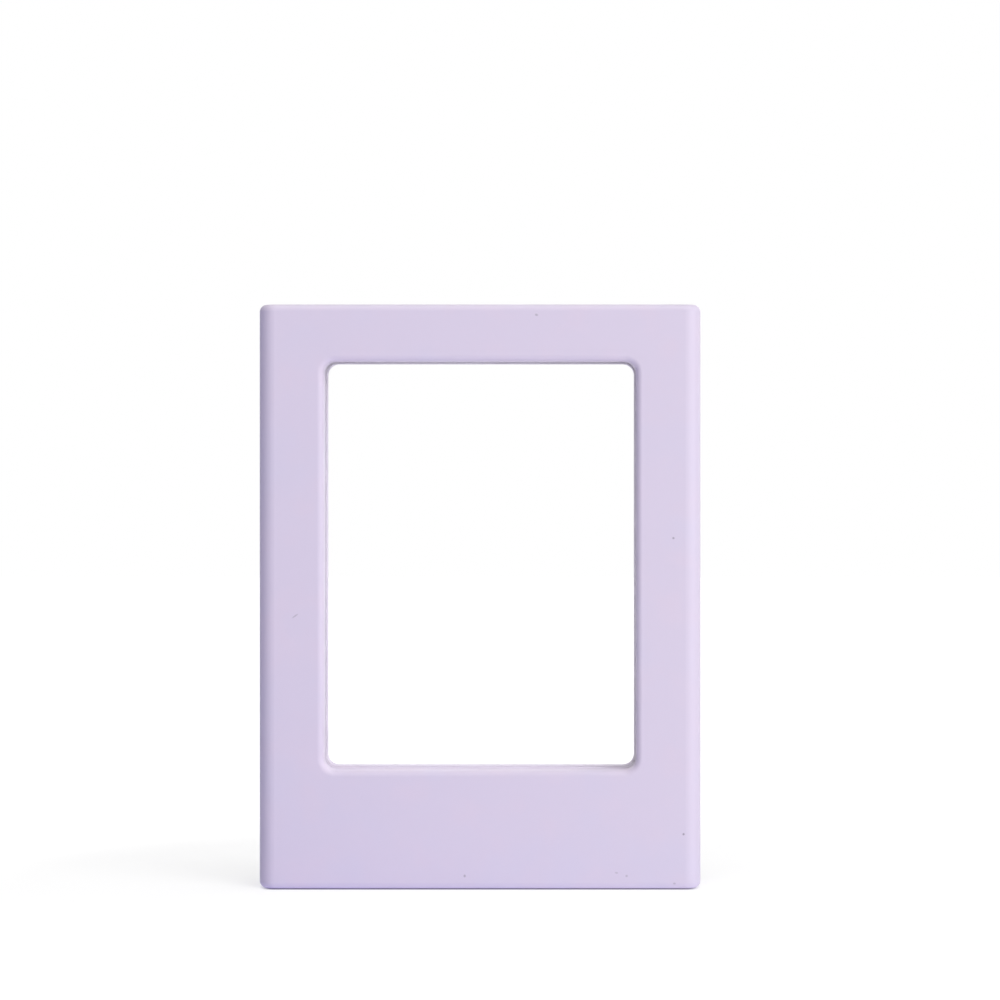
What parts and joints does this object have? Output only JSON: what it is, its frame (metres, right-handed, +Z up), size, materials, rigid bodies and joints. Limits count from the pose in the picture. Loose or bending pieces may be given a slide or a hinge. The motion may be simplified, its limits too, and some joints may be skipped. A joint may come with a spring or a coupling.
{
  "type": "magnetic photo frame",
  "caption": "Upright see-through frame for a mini instant print: hollow moulded halves with clear panels meet at a parting plane and are held by magnets in the corners.",
  "frame": {"origin": "middle of the base, on the surface that the frame stands on, in the parting plane", "axes": "+X across the frame to its right seen from the front, +Y to the back, +Z upwards"},
  "size_m": [0.07, 0.014, 0.0925],
  "materials": {
    "lilac_plastic": "pale lilac ABS with a fine satin spark texture",
    "clear_acrylic": "clear polished acrylic sheet",
    "nickel_plating": "nickel-plated rod magnet, bright"
  },
  "bodies": {
    "rear_half": {"rear_shell": "lilac_plastic", "rear_inner_plate": "lilac_plastic", "rear_clear_panel": "clear_acrylic", "rear_magnet_top_left": "nickel_plating", "rear_magnet_top_right": "nickel_plating", "rear_magnet_bottom_left": "nickel_plating", "rear_magnet_bottom_right": "nickel_plating"},
    "front_half": {"front_shell": "lilac_plastic", "front_inner_plate": "lilac_plastic", "front_clear_panel": "clear_acrylic", "front_magnet_top_left": "nickel_plating", "front_magnet_top_right": "nickel_plating", "front_magnet_bottom_left": "nickel_plating", "front_magnet_bottom_right": "nickel_plating"}
  },
  "joints": [
    {"name": "front_pull_off", "type": "slide", "parent": "rear_half", "child": "front_half", "axis": [0, -1, 0], "range_m": [0, 0.03]}
  ]
}
